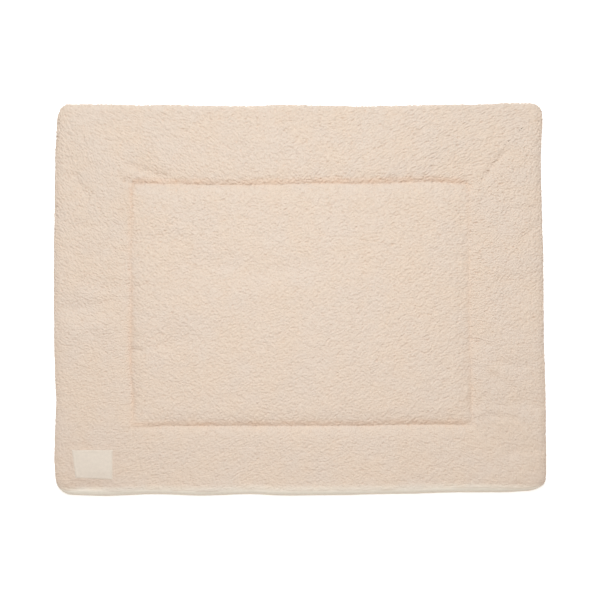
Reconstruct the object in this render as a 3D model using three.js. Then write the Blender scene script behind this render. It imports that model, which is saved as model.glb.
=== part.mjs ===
import * as THREE from "three";
import { mergeVertices } from "three/addons/utils/BufferGeometryUtils.js";

// A playpen mat: a pile-cloth front sewn to a plain back, turned over a soft filling and
// quilted once round, so that a raised border stands about a raised middle panel.
// A small cotton label is sewn on the border, near the front left corner.
//
// Sizes are in millimetres. X runs along the mat, Y from its front edge to its back edge,
// and Z up from the floor that the mat lies on. The part is centred on its own bounds.

// Driving sizes
const HALF_LENGTH = 500;
const HALF_WIDTH = 398;
const BORDER_HEIGHT = 19; // top of the border where it is fullest
const PANEL_HEIGHT = 20; // top of the middle panel near its seam
const PANEL_CROWN = 4; // what the panel's middle rises above that
const SEAM_DROP = 8; // how far the quilting pulls the top down where it is tightest
const SEAM_REACH = 34; // how far from the quilting the top is full again
const EDGE_HEIGHT = 8; // height of the rim's outermost line
const LOWER_ROUND = 11; // how far in the rim turns under
const UNDER_LIFT = 3; // how far the quilting lifts the underside
const UNDER_REACH = 9;
const BACK_THICKNESS = 1.2;
const GAP = 0.3; // between two pieces that touch
const LABEL_THICKNESS = 1;
const LABEL_LIFT = 0.4; // a little over GAP, because the top rises between the label's points

// Points round the mat: along a long side, along a short side and round a corner
const LONG_STEPS = 30;
const SHORT_STEPS = 23;
const CORNER_STEPS = 5;

// How the steps along the quilting crowd towards its corners, where 0 is evenly
const CROWDING = 0.75;

// The rim of each side. `at` is the place along the side, from the mat's middle, `out` is how
// far the rim stands out of its straight line there, and `round` how far in its top turns over.
// `roll` is the angle, up from the rim's outermost line, at which the back meets the front.
const RIM = {
  front: {
    roll: 76,
    rows: [
      { at: -450, out: 1, round: 19 },
      { at: -400, out: 2.6, round: 18 },
      { at: -295, out: -1.5, round: 17 },
      { at: -200, out: 2, round: 17 },
      { at: -95, out: -1.4, round: 17 },
      { at: -30, out: 2, round: 17 },
      { at: 80, out: 0.6, round: 17 },
      { at: 200, out: -1.8, round: 17 },
      { at: 330, out: -5, round: 18 },
      { at: 430, out: -5, round: 20 },
      { at: 470, out: -9, round: 22 },
    ],
  },
  right: {
    roll: 4,
    rows: [
      { at: -360, out: 4.6, round: 19 },
      { at: -230, out: 3.4, round: 18 },
      { at: -160, out: 2.1, round: 20 },
      { at: -70, out: -0.8, round: 22 },
      { at: 0, out: -0.6, round: 26 },
      { at: 60, out: -1, round: 34 },
      { at: 160, out: -3.2, round: 36 },
      { at: 250, out: -6.3, round: 32 },
      { at: 310, out: -6.2, round: 26 },
      { at: 360, out: -3.9, round: 22 },
    ],
  },
  back: {
    roll: 4,
    rows: [
      { at: 460, out: 3.6, round: 11 },
      { at: 425, out: 5, round: 11 },
      { at: 370, out: 1, round: 10 },
      { at: 300, out: 1.2, round: 10 },
      { at: 220, out: -1, round: 10 },
      { at: 120, out: -2.6, round: 10 },
      { at: 30, out: -0.7, round: 10 },
      { at: -30, out: 0.5, round: 10 },
      { at: -110, out: -2, round: 10 },
      { at: -200, out: -1.6, round: 10 },
      { at: -260, out: 0.4, round: 11 },
      { at: -320, out: -0.2, round: 12 },
      { at: -400, out: 2, round: 14 },
      { at: -460, out: 2.8, round: 16 },
    ],
  },
  left: {
    roll: 4,
    rows: [
      { at: 372, out: -5, round: 24 },
      { at: 355, out: -3.4, round: 24 },
      { at: 295, out: -0.3, round: 26 },
      { at: 200, out: 0.9, round: 26 },
      { at: 100, out: 2.3, round: 24 },
      { at: 0, out: 2.5, round: 22 },
      { at: -80, out: 2.1, round: 22 },
      { at: -165, out: -0.3, round: 22 },
      { at: -197, out: -2.6, round: 22 },
      { at: -250, out: -0.2, round: 22 },
      { at: -330, out: 1.7, round: 22 },
      { at: -358, out: -0.4, round: 22 },
    ],
  },
};

// The corners, each at the end of its side as the rim is followed anticlockwise.
// `radius` rounds the rim, and `x` and `y` place the corner of the quilting. `pull` is how
// tight the quilting is there, where 1 takes the whole SEAM_DROP.
const CORNER = {
  front: { radius: 34, x: 350.5, y: -253, pull: 0.6 },
  right: { radius: 21, x: 345.5, y: 235.5, pull: 0.8 },
  back: { radius: 28, x: -342.5, y: 237.5, pull: 0.9 },
  left: { radius: 37, x: -338.5, y: -257.5, pull: 0.4 },
};

// The quilting along each side, between its corners. `at` and `out` are as for the rim, from
// the straight line between the two corners, and `pull` is as for the corners.
const QUILTING = {
  front: [
    { at: -318, out: 1.2, pull: 0.45 },
    { at: -280, out: -1, pull: 0.75 },
    { at: -200, out: -0.9, pull: 0.85 },
    { at: 0, out: 0.2, pull: 0.85 },
    { at: 135, out: 1, pull: 0.95 },
    { at: 210, out: -0.6, pull: 1 },
    { at: 330, out: 0, pull: 0.9 },
  ],
  right: [
    { at: -180, out: 0, pull: 0.65 },
    { at: -90, out: -1.5, pull: 0.55 },
    { at: 0, out: -3, pull: 0.42 },
    { at: 110, out: -3, pull: 0.34 },
    { at: 205, out: -2, pull: 0.3 },
  ],
  back: [
    { at: 300, out: 4.6, pull: 1 },
    { at: 260, out: 6.6, pull: 0.95 },
    { at: 215, out: 4.4, pull: 0.9 },
    { at: 150, out: 1.6, pull: 0.95 },
    { at: 80, out: 2.4, pull: 0.95 },
    { at: 10, out: 1.6, pull: 0.85 },
    { at: -50, out: -0.8, pull: 0.75 },
    { at: -130, out: -2, pull: 0.85 },
    { at: -215, out: -1.3, pull: 0.85 },
    { at: -300, out: 0.2, pull: 0.9 },
  ],
  left: [
    { at: 195, out: -0.6, pull: 0.35 },
    { at: 85, out: 3.6, pull: 0.4 },
    { at: 30, out: 1, pull: 0.55 },
    { at: -30, out: 2.4, pull: 0.65 },
    { at: -99, out: 4, pull: 0.95 },
    { at: -140, out: 4.6, pull: 0.85 },
    { at: -197, out: 0.6, pull: 0.85 },
  ],
};

// Soft valleys and ridges in the top: each runs from one point to another, is `reach` wide
// to each side, and lifts the cloth by `rise` along its middle, or sinks it where that is below 0.
const FOLDS = [
  // across the left border, from the rim to the quilting
  { x: -505, y: -26, toX: -372, toY: 0, reach: 15, rise: -4 },
  { x: -470, y: -62, toX: -380, toY: -40, reach: 24, rise: 1.5 },
  // across the right border
  { x: 505, y: 18, toX: 410, toY: 22, reach: 18, rise: -3.5 },
  { x: 478, y: -212, toX: 384, toY: -160, reach: 12, rise: -1.8 },
  { x: 440, y: -296, toX: 362, toY: -228, reach: 12, rise: -2 },
  { x: 428, y: -132, toX: 362, toY: -84, reach: 11, rise: -1.5 },
  // puckers at the back corners of the quilting
  { x: 420, y: 304, toX: 372, toY: 248, reach: 9, rise: -3.6 },
  { x: -356, y: 286, toX: -268, toY: 246, reach: 11, rise: -3.4 },
  { x: -466, y: 276, toX: -425, toY: 214, reach: 11, rise: -1.8 },
  // from the knot in the left quilting into the panel
  { x: -340, y: -99, toX: -222, toY: -77, reach: 11, rise: -1.8 },
  // long waves in the panel
  { x: -262, y: 72, toX: 60, toY: 62, reach: 34, rise: -1.6 },
  { x: -258, y: -30, toX: 108, toY: 38, reach: 30, rise: 1.6 },
  { x: -300, y: 122, toX: -215, toY: 118, reach: 20, rise: -1 },
  // below the label
  { x: -480, y: -384, toX: -384, toY: -380, reach: 11, rise: -2.4 },
];

// The label, by its four corners, anticlockwise from the one nearest the mat's corner
const LABEL_CORNERS = [
  { x: -455.5, y: -362 },
  { x: -379.5, y: -365 },
  { x: -379.5, y: -303.5 },
  { x: -463.5, y: -304 },
];
const LABEL_COLUMNS = 10;
const LABEL_ROWS = 8;

const SIDES = [
  { name: "front", along: [1, 0], outward: [0, -1], line: HALF_WIDTH, steps: LONG_STEPS },
  { name: "right", along: [0, 1], outward: [1, 0], line: HALF_LENGTH, steps: SHORT_STEPS },
  { name: "back", along: [-1, 0], outward: [0, 1], line: HALF_WIDTH, steps: LONG_STEPS },
  { name: "left", along: [0, -1], outward: [-1, 0], line: HALF_LENGTH, steps: SHORT_STEPS },
];

const { lerp, clamp, degToRad, smoothstep } = THREE.MathUtils;

// Reads one column of a table at a place between its rows, with a smooth passage between rows.
function readTable(rows, column, at) {
  const sorted = rows[0].at < rows.at(-1).at ? rows : [...rows].reverse();
  const after = sorted.findIndex((row) => row.at >= at);
  if (after === 0) return sorted[0][column];
  if (after < 0) return sorted.at(-1)[column];
  const [low, high] = [sorted[after - 1], sorted[after]];
  return lerp(low[column], high[column], smoothstep(at, low.at, high.at));
}

// The share of the full height at a distance from a sewn line: steep there, and level at `reach`.
function fullness(distance, reach) {
  const left = 1 - clamp(distance / reach, 0, 1);
  return Math.sqrt(1 - left * left);
}

// The height that the folds add at a point of the top.
function foldRise(x, y) {
  let rise = 0;
  for (const fold of FOLDS) {
    const [runX, runY] = [fold.toX - fold.x, fold.toY - fold.y];
    const length = Math.hypot(runX, runY);
    const along = ((x - fold.x) * runX + (y - fold.y) * runY) / length;
    const across = ((x - fold.x) * runY - (y - fold.y) * runX) / length;
    const past = Math.max(0, -along, along - length);
    const fade = 1 - smoothstep(along, length - fold.reach, length + fold.reach);
    rise += fold.rise * fade * Math.exp(-(across ** 2 + past ** 2) / fold.reach ** 2);
  }
  return rise;
}

// A point of the rim's outermost line, on the straight part of a side.
function rimOnSide(side, at) {
  const out = side.line + readTable(RIM[side.name].rows, "out", at);
  return [0, 1].map((i) => Math.abs(side.along[i]) * at + side.outward[i] * out);
}

// A point of the quilting, a share of the way along its side.
function quiltingOnSide(side, start, end, share) {
  const place = side.along[0] ? "x" : "y";
  const rows = [
    { at: start[place], out: 0, pull: start.pull },
    ...QUILTING[side.name],
    { at: end[place], out: 0, pull: end.pull },
  ];
  const at = lerp(start[place], end[place], share);
  const out = readTable(rows, "out", at);
  return {
    point: [
      lerp(start.x, end.x, share) + side.outward[0] * out,
      lerp(start.y, end.y, share) + side.outward[1] * out,
    ],
    pull: readTable(rows, "pull", at),
  };
}

// How far the quilting lies in from the rim, square to a side.
function borderWidth(side, rim, quilting) {
  return side.outward[0] * (rim[0] - quilting[0]) + side.outward[1] * (rim[1] - quilting[1]);
}

// Spreads steps along the quilting so that they crowd towards both ends.
function crowded(share) {
  return lerp(share, (1 - Math.cos(Math.PI * share)) / 2, CROWDING);
}

// Points round the mat are stations. Each pairs a point of the rim with the point of the
// quilting inside it, and holds what the cross-section between the two needs. These are the
// stations of the straight part of a side, anticlockwise.
function sideStations(side) {
  const s = SIDES.indexOf(side);
  const [before, after] = [SIDES[(s + 3) % 4], SIDES[(s + 1) % 4]];
  const [start, end] = [CORNER[before.name], CORNER[side.name]];
  const sign = side.along[0] + side.along[1];
  const from = sign * (start.radius - before.line);
  const to = sign * (after.line - end.radius);
  return Array.from({ length: side.steps + 1 }, (_, i) => {
    const at = lerp(from, to, i / side.steps);
    const rim = rimOnSide(side, at);
    const { point, pull } = quiltingOnSide(side, start, end, crowded(i / side.steps));
    return {
      rim,
      quilting: point,
      width: borderWidth(side, rim, point),
      pull,
      round: readTable(RIM[side.name].rows, "round", at),
      roll: RIM[side.name].roll,
    };
  });
}

// The stations of the corner between two sides, on a quarter of an ellipse from the last
// station of one side to the first of the next.
function cornerStations(side, first, last) {
  return Array.from({ length: CORNER_STEPS - 1 }, (_, i) => {
    const share = (i + 1) / CORNER_STEPS;
    const turn = (Math.PI / 2) * share;
    const [ahead, aside] = [Math.sin(turn), 1 - Math.cos(turn)];
    const [shareX, shareY] = side.along[0] ? [ahead, aside] : [aside, ahead];
    return {
      rim: [lerp(first.rim[0], last.rim[0], shareX), lerp(first.rim[1], last.rim[1], shareY)],
      quilting: first.quilting,
      width: lerp(first.width, last.width, share),
      pull: first.pull,
      round: lerp(first.round, last.round, share),
      roll: lerp(first.roll, last.roll, smoothstep(share, 0, 1)),
    };
  });
}

const BY_SIDE = SIDES.map(sideStations);
const STATIONS = SIDES.flatMap((side, s) => {
  const next = BY_SIDE[(s + 1) % 4];
  return [...BY_SIDE[s], ...cornerStations(side, BY_SIDE[s].at(-1), next[0])];
});

// A point of the border in plan, at a distance in from the rim.
function plan(station, inside) {
  const share = clamp(inside / station.width, 0, 1);
  return [0, 1].map((i) => lerp(station.rim[i], station.quilting[i], share));
}

// The top of the border at a distance in from the rim.
function borderTop(station, inside) {
  const [x, y] = plan(station, inside);
  const full = BORDER_HEIGHT + foldRise(x, y);
  const rounded = lerp(EDGE_HEIGHT, full, fullness(inside, station.round));
  const drop = SEAM_DROP * station.pull * (1 - fullness(station.width - inside, SEAM_REACH));
  return [x, y, rounded - drop];
}

// A point of the rim at an angle up from its outermost line, sunk by `sunk` below the surface.
function rimPoint(station, angle, sunk) {
  const turn = degToRad(angle);
  const radius = angle < 0 ? LOWER_ROUND : station.round;
  const inside = radius * (1 - Math.cos(turn));
  const height = angle < 0 ? EDGE_HEIGHT * (1 + Math.sin(turn)) : borderTop(station, inside)[2];
  return [...plan(station, inside + sunk * Math.cos(turn)), height - sunk * Math.sin(turn)];
}

// The underside near the quilting, at a signed distance from it, raised by `sunk`.
function underPoint(station, inside, sunk) {
  const [x, y] = plan(station, inside);
  const near = 1 - clamp((station.width - inside) / UNDER_REACH, 0, 1);
  return [x, y, sunk + UNDER_LIFT * station.pull * near * near];
}

// The rings of the rim that the back covers, sunk by `sunk` below the surface.
function coveredRings(sunk) {
  const angle = (station, share) => lerp(-90, station.roll, share);
  return UNDER_BACK.map((share) => ringOf((station) => rimPoint(station, angle(station, share), sunk)));
}

// The underside's flat field, bounded by a line a little inside the quilting.
function underField(station, sunk) {
  const shrink = 1 - UNDER_REACH / CORNER.back.y;
  return [station.quilting[0] * shrink, station.quilting[1] * shrink, sunk];
}

// Rings of points are joined into bands, and a list of triangles is closed into one body.
class Skin {
  constructor() {
    this.points = [];
  }
  triangle(a, b, c) {
    this.points.push(...a, ...b, ...c);
  }
  // Two triangles that share the edge from a to c, whichever way they face
  quad(a, b, c, d, turned) {
    this.triangle(a, ...(turned ? [c, b] : [b, c]));
    this.triangle(a, ...(turned ? [d, c] : [c, d]));
  }
  // Joins two rings. The first lies to the right of the second, seen from outside, or to the
  // left if `turned` is set.
  band(first, second, turned) {
    first.forEach((point, i) => {
      const next = (i + 1) % first.length;
      this.quad(point, first[next], second[next], second[i], turned);
    });
  }
  bands(rings, turned) {
    rings.slice(1).forEach((ring, i) => this.band(rings[i], ring, turned));
  }
  // Closes a flat ring with triangles that face up, or down if `down` is set.
  cap(ring, down) {
    const outline = ring.map(([x, y]) => new THREE.Vector2(x, y));
    for (const [a, b, c] of THREE.ShapeUtils.triangulateShape(outline, [])) {
      if (down) this.triangle(ring[a], ring[c], ring[b]);
      else this.triangle(ring[a], ring[b], ring[c]);
    }
  }
  geometry() {
    const loose = new THREE.BufferGeometry();
    loose.setAttribute("position", new THREE.Float32BufferAttribute(this.points, 3));
    const merged = mergeVertices(loose, 1e-3);
    const kept = [];
    for (let i = 0; i < merged.index.count; i += 3) {
      const [a, b, c] = [0, 1, 2].map((k) => merged.index.getX(i + k));
      if (a !== b && b !== c && c !== a) kept.push(a, b, c);
    }
    merged.setIndex(kept);
    merged.computeVertexNormals();
    return merged;
  }
}

function ringOf(pointAt) {
  return STATIONS.map(pointAt);
}

// Shares of the rim's turn at which its rings lie, where the back covers it and above that
const UNDER_BACK = [0, 0.2, 0.4, 0.6, 0.8, 1];
const ABOVE_BACK = [0.25, 0.5, 0.75, 1];
const PAST_BACK = 5; // degrees past the back's edge at which the front comes out from under it

// The distances in from the rim, and out from the quilting, of the border's other rings
const BORDER_RINGS = [50, 75, 100];
const SEAM_RINGS = [34, 22, 12, 6, 2.5, 0];

// The rings of the underside, from the flat field out to the rim's turn.
function underRings(sunk) {
  return [
    ringOf((station) => underField(station, sunk)),
    ringOf((station) => underPoint(station, station.width, sunk)),
    ringOf((station) => underPoint(station, station.width - UNDER_REACH, sunk)),
  ];
}

// The surface that the four sewn lines span between them, at shares `u` along X and `v` along Y.
function spanned(edges, corners, u, v) {
  const [front, right, back, left] = edges.map((station) => station.quilting);
  return [0, 1].map((axis) => {
    const [frontLeft, frontRight, backLeft, backRight] = corners.map((corner) => corner[axis]);
    const betweenCorners = lerp(lerp(frontLeft, frontRight, u), lerp(backLeft, backRight, u), v);
    return lerp(front[axis], back[axis], v) + lerp(left[axis], right[axis], u) - betweenCorners;
  });
}

// The top of the panel at a point, between the four stations that lie level with it.
function panelTop(x, y, edges, u, v) {
  const [front, right, back, left] = edges.map((station) => station.quilting);
  const distances = [y - front[1], right[0] - x, back[1] - y, x - left[0]];
  const drops = distances.map((distance, i) => edges[i].pull * (1 - fullness(distance, SEAM_REACH)));
  const crown = PANEL_CROWN * Math.sin(Math.PI * u) * Math.sin(Math.PI * v);
  const settled = smoothstep(Math.min(...distances), 0, SEAM_REACH);
  const full = lerp(BORDER_HEIGHT, PANEL_HEIGHT + crown, settled);
  return full + foldRise(x, y) - SEAM_DROP * Math.max(...drops);
}

// The panel inside the quilting: a grid whose edge points are the quilting's own.
function addPanel(skin) {
  const [front, right] = BY_SIDE;
  const [back, left] = BY_SIDE.slice(2).map((list) => [...list].reverse());
  const corners = [front[0], front.at(-1), back[0], back.at(-1)].map((station) => station.quilting);
  const onQuilting = (station) => borderTop(station, station.width);
  const pointAt = (i, k) => {
    if (k === 0) return onQuilting(front[i]);
    if (k === SHORT_STEPS) return onQuilting(back[i]);
    if (i === 0) return onQuilting(left[k]);
    if (i === LONG_STEPS) return onQuilting(right[k]);
    const [u, v] = [crowded(i / LONG_STEPS), crowded(k / SHORT_STEPS)];
    const edges = [front[i], right[k], back[i], left[k]];
    const [x, y] = spanned(edges, corners, u, v);
    return [x, y, panelTop(x, y, edges, u, v)];
  };
  for (let i = 0; i < LONG_STEPS; i++) {
    for (let k = 0; k < SHORT_STEPS; k++) {
      skin.quad(pointAt(i, k), pointAt(i + 1, k), pointAt(i + 1, k + 1), pointAt(i, k + 1));
    }
  }
}

// The front cloth with the filling inside it, as one solid.
function paddedMat() {
  const skin = new Skin();
  const sunk = BACK_THICKNESS + GAP;
  const under = underRings(sunk);
  const angle = (station, share) => lerp(station.roll + PAST_BACK, 90, share);
  const ringAt = (share, depth) => ringOf((station) => rimPoint(station, angle(station, share), depth));
  const border = BORDER_RINGS.map((inside) => ringOf((station) => borderTop(station, inside)));
  const seam = SEAM_RINGS.map((out) => ringOf((station) => borderTop(station, station.width - out)));
  const rings = [
    ...under,
    ...coveredRings(sunk),
    ringAt(0, sunk),
    ...ABOVE_BACK.map((share) => ringAt(share, 0)),
    ...border,
    ...seam,
  ];
  skin.cap(under[0], true);
  skin.bands(rings);
  addPanel(skin);
  return skin.geometry();
}

// The back cloth: it lies under the mat and turns up round the rim to where it meets the front.
function backCloth() {
  const skin = new Skin();
  const layer = (sunk) => [...underRings(sunk), ...coveredRings(sunk)];
  const [outer, inner] = [layer(0), layer(BACK_THICKNESS)];
  skin.cap(outer[0], true);
  skin.cap(inner[0], false);
  skin.bands(outer);
  skin.bands(inner, true);
  skin.band(outer.at(-1), inner.at(-1));
  return skin.geometry();
}

// The label: a sheet that lies on the border's top and follows it.
function label(under) {
  const caster = new THREE.Raycaster();
  const down = new THREE.Vector3(0, 0, -1);
  const heightUnder = (x, y) => {
    caster.set(new THREE.Vector3(x, y, 2 * PANEL_HEIGHT), down);
    return caster.intersectObject(under)[0].point.z;
  };
  const [a, b, c, d] = LABEL_CORNERS;
  const layer = (lift) =>
    Array.from({ length: LABEL_ROWS + 1 }, (_, k) =>
      Array.from({ length: LABEL_COLUMNS + 1 }, (_, i) => {
        const [u, v] = [i / LABEL_COLUMNS, k / LABEL_ROWS];
        const x = lerp(lerp(a.x, b.x, u), lerp(d.x, c.x, u), v);
        const y = lerp(lerp(a.y, b.y, u), lerp(d.y, c.y, u), v);
        return [x, y, heightUnder(x, y) + lift];
      }),
    );
  const [bottom, top] = [layer(LABEL_LIFT), layer(LABEL_LIFT + LABEL_THICKNESS)];
  const edgeOf = (grid) => [
    ...grid[0].slice(0, -1),
    ...grid.slice(0, -1).map((points) => points.at(-1)),
    ...grid.at(-1).slice(1).reverse(),
    ...grid.slice(1).map((points) => points[0]).reverse(),
  ];
  const skin = new Skin();
  for (let k = 0; k < LABEL_ROWS; k++) {
    for (let i = 0; i < LABEL_COLUMNS; i++) {
      skin.quad(top[k][i], top[k][i + 1], top[k + 1][i + 1], top[k + 1][i]);
      skin.quad(bottom[k][i], bottom[k + 1][i], bottom[k + 1][i + 1], bottom[k][i + 1]);
    }
  }
  skin.band(edgeOf(bottom), edgeOf(top));
  return skin.geometry();
}

function piece(name, geometry, material) {
  const mesh = new THREE.Mesh(geometry, new THREE.MeshStandardMaterial(material));
  mesh.name = name;
  return mesh;
}

const pad = piece("padded_mat", paddedMat(), { color: 0xe3d0be, roughness: 1, metalness: 0 });
const back = piece("back_cloth", backCloth(), { color: 0xe6dccb, roughness: 0.9, metalness: 0 });
const tag = piece("label", label(pad), { color: 0xe5dbcb, roughness: 0.85, metalness: 0 });

const mat = new THREE.Group();
mat.add(pad, back, tag);
const bounds = new THREE.Box3().setFromObject(mat);
const middle = bounds.getCenter(new THREE.Vector3());
mat.position.set(-middle.x, -middle.y, -bounds.min.z);

export default mat;
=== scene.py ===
"""A padded playpen mat with a curly pile front, laid out flat and seen from straight above.

Lengths are in metres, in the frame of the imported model: X along the mat, Y towards its back
edge and Z up from the floor.
"""

import math

import bpy
import numpy as np
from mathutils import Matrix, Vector
from mathutils.bvhtree import BVHTree
from mathutils.geometry import tessellate_polygon


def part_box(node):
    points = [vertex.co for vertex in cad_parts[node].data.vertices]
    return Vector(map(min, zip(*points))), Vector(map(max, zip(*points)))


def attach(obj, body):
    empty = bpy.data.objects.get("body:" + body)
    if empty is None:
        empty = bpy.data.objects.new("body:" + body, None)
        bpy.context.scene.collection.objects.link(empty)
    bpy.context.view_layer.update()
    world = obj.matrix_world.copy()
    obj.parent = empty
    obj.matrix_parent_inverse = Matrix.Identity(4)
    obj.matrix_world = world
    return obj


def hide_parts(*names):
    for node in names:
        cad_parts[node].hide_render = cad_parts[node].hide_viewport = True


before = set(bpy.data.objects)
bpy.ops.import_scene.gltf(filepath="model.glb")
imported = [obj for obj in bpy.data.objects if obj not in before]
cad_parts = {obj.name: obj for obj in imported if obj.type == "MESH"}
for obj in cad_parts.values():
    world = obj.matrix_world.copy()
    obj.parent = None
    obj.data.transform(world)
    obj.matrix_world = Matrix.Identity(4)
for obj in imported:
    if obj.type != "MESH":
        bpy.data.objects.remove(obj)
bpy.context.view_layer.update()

MM = 0.001

# The rim's nominal outline, and the line in the border that the rim is rounded about
RIM_LOW, RIM_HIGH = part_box("padded_mat")
CORNER_RADIUS = 30 * MM
AXIS_INSIDE = 26 * MM
AXIS_HEIGHT = 8 * MM

# Where the quilting is looked for, as a share of the rim's half length and half width: `reach`
# to each side of that, and up to `short` of its corners
QUILTING_SHARE = (0.687, 0.617)
CORNER_ROUNDS = 7  # of nearing the place where two of its lines meet
QUILTING_SEARCH = {"reach": 16 * MM, "short": 12 * MM, "along": 141, "across": 65, "blur": 1.6}

# How finely the cloth is modelled
PILE_STEP = (1.9 * MM, 1.4 * MM)  # along X and along Y
BORDER_STEP = 1.55 * MM  # from the quilting out to the rim
TOP_SAMPLES = 24
FAN_ANGLES = np.arange(90, -92.5, -2.5)  # of rays out from the rim's axis, in degrees above level
FAN_SQUASH = 0.5
CLOSE_INSET = 7  # grid steps that a padded piece's bottom lies inside its edge
RIM_INSET = 25  # the same under the rim, where it would show otherwise
CLOSE_HEIGHT = 2.4 * MM
WRAP = 3  # sections that a closed ring repeats past its ends, for its shading

# How far what is read off the solids is blurred, in samples
SECTION_BLUR = 6
PROFILE_BLUR = 1.0
PANEL_BLUR = 2.2
BACK_BLUR = 1.5
# How far one side's values go over into the next's, in sections and at the quilting
CORNER_BLUR = 12
CORNER_BLEND = 8 * MM

# Seeded unevenness: the size of its bumps, how far they reach or what share they add or take,
# how many layers of it there are, each twice as fine as the last, and its seed
UNEVEN = {
    "swell": (90 * MM, 0.9 * MM, 2, 3),  # of the filling
    "ripple": (32 * MM, 0.35 * MM, 2, 5),
    "pucker": (13 * MM, 0.5 * MM, 1, 7),  # beside the quilting
    "crease": (21 * MM, 0.5, 1, 9),  # how deep the sewn crease is
    "wander": (8 * MM, 1.2 * MM, 2, 13),  # and how far it leaves its line
    "sewn": (16 * MM, 0.3, 1, 17),  # of the painted shade beside it
    "tuft": (11 * MM, 0.45 * MM, 1, 41),  # of the pile
    "nub_x": (7 * MM, 1.2 * MM, 2, 11),  # how far the nubs leave their places
    "nub_y": (7 * MM, 1.2 * MM, 2, 16),
    "lap": (6 * MM, 0.8 * MM, 1, 19),  # of the pile over the label's edge
    "wave": (26 * MM, 0.5 * MM, 2, 51),  # of the label
    "gather": (17 * MM, 0.5 * MM, 1, 41),  # of the back cloth at its edge
    "fuzz": (9 * MM, 0.25, 1, 43),  # of the loose fibres there
}

# The pile: nubs of curled yarn. The lowest is `least` as high as the highest, `level` of their
# height is sunk in the cloth, and the gaps between them, dark with painted shade, are `gap` of
# their size wide.
NUB = {"size": 3.05 * MM, "height": 3.65 * MM, "least": 0.6, "level": 0.55, "gap": 0.35}
NUB_SEED = 21
NUB_STRETCH = 1.5  # along X, the way that the pile is combed
NUB_SLOPE = (0.02, 0.3)  # how much higher it stands at the right and the back than midway
NUB_SIDES = {"share": 0.13, "from": 320 * MM, "full": 380 * MM}  # lower towards left and right
GAP_PAINTED_SHADE = 0.6  # what the gaps add to the painted shade, where the rest goes with the depth
FLAT_SHARE = 0.15  # what is left of its height where it is sewn down or covered
# How far it stands out at the rim
RIM_STAND = {"front": -0.3 * MM, "right": 0.1 * MM, "back": 0.6 * MM, "left": -0.3 * MM}
TUCK = 7 * MM  # how far the pile cloth goes on under the back's edge
TUCK_FADE = 6.0 * MM  # over which its pile grows thin there
TUCK_PAST = 4.5 * MM  # how far past the edge its last nubs lie
TUCK_LIGHT = 0.7  # how much of the painted shade is taken off there
TUCK_SINK = {"from": 4.2 * MM, "to": 6.4 * MM, "depth": 1.2 * MM}
# The padding steps down under the back's edge. This lifts it level again along the front, and a
# little more where the seam is thick.
LEVEL = {"height": 1.35 * MM, "from": -2.1 * MM, "full": 0.4 * MM}
THICK = {"height": 0.7 * MM, "from": -12 * MM, "full": 0.5 * MM}
LEVEL_END = {"from": 2 * MM, "to": 14 * MM}
FRONT_PAINTED_LIGHT = {"share": 0.6, "from": -13 * MM, "full": 2 * MM}  # painted light: the pile made paler towards the back's colour along the front edge, in that seam

# The sewn channel: the narrow crease in which the stitches lie
CREASE_DEPTH = 0.4 * MM
CREASE_REACH = 2.0 * MM
CREASE_PAINTED_SHADE = {"share": 0.1, "reach": 2.6 * MM}  # how much painted shade lies in it
SEWN_FLAT = {"from": 1.6 * MM, "full": -0.4 * MM}  # how near to it the pile is held down
SEWN_REACH = 6 * MM  # painted shade, warmer and darker, lies beside it
SEWN_SIDE = 6 * MM  # the painted shade lies more on its farther side
SEWN_MEAN = 0.85
# How deep each side's crease is, and how much painted shade lies beside it
CREASE_SHARE = {"front": 0.05, "right": 0.05, "back": 0.9, "left": 0.3}
SEWN_SHADE_SHARE = {"front": 0.7, "right": 0.25, "back": 0.95, "left": 0.5}
PUCKER_REACH = 12 * MM
SWELL_CLEAR = 20 * MM  # how far from the quilting the swells are at their full height

# Creases finer than the solids': each runs from one point to another, `reach` wide to each
# side, and lifts the cloth by `rise` along its middle, or sinks it where that is below 0.
CREASE_COLUMNS = ("x", "y", "to_x", "to_y", "reach", "rise")
CREASES_MM = (
    # over the back left corner of the quilting
    (-346, 270, -276, 250, 10, -3.0),
    (-358, 241, -296, 235, 6, -2.4),
    (-386, 282, -356, 264, 7, 0.9),
    # in the left border
    (-460, 250, -432, 208, 7, -1.9),
    (-466, 152, -350, 150, 9, -0.8),
    (-446, 36, -364, 28, 15, -1.5),
    (-500, -26, -380, -6, 9, -1.2),
    (-402, -50, -392, -50, 20, 1.7),
    (-474, -66, -462, -66, 15, 1.2),
    # knots in the left quilting
    (-342, 24, -331, 26, 8, -1.9),
    (-340, -107, -328, -105, 9, -2.6),
    (-322, -102, -262, -90, 7, -0.9),
    # long waves in the panel
    (-323, 124, -241, 124, 12, -1.0),
    (-215, 80, -85, 66, 18, -1.3),
    (-110, 20, 0, 34, 16, 1.1),
    # in the back right corner
    (412, 296, 372, 246, 7, -2.5),
    (396, 278, 358, 250, 9, 1.0),
    (274, 272, 350, 276, 16, -1.6),
    (328, 238, 344, 234, 4, -1.4),
    # in the right border
    (417, 178, 493, 188, 9, -1.6),
    (490, 158, 452, 124, 10, -1.7),
    (452, 112, 495, 76, 9, -1.3),
    (405, 38, 490, 52, 10, -1.2),
    (348, -80, 386, -94, 7, -1.6),
    (356, -116, 438, -170, 8, 1.4),
    (396, -126, 456, -136, 9, -1.4),
    (356, -208, 490, -216, 13, -1.5),
    (390, -236, 438, -242, 8, -2.0),
    (384, -274, 426, -314, 10, -1.4),
    (428, -312, 490, -300, 12, -1.6),
    # knots in the right quilting
    (324, 84, 344, 84, 6, -1.4),
    (326, 17, 344, 17, 6, -1.2),
    # in front of the label
    (-448, -379, -404, -380, 8, -1.2),
)

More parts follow.
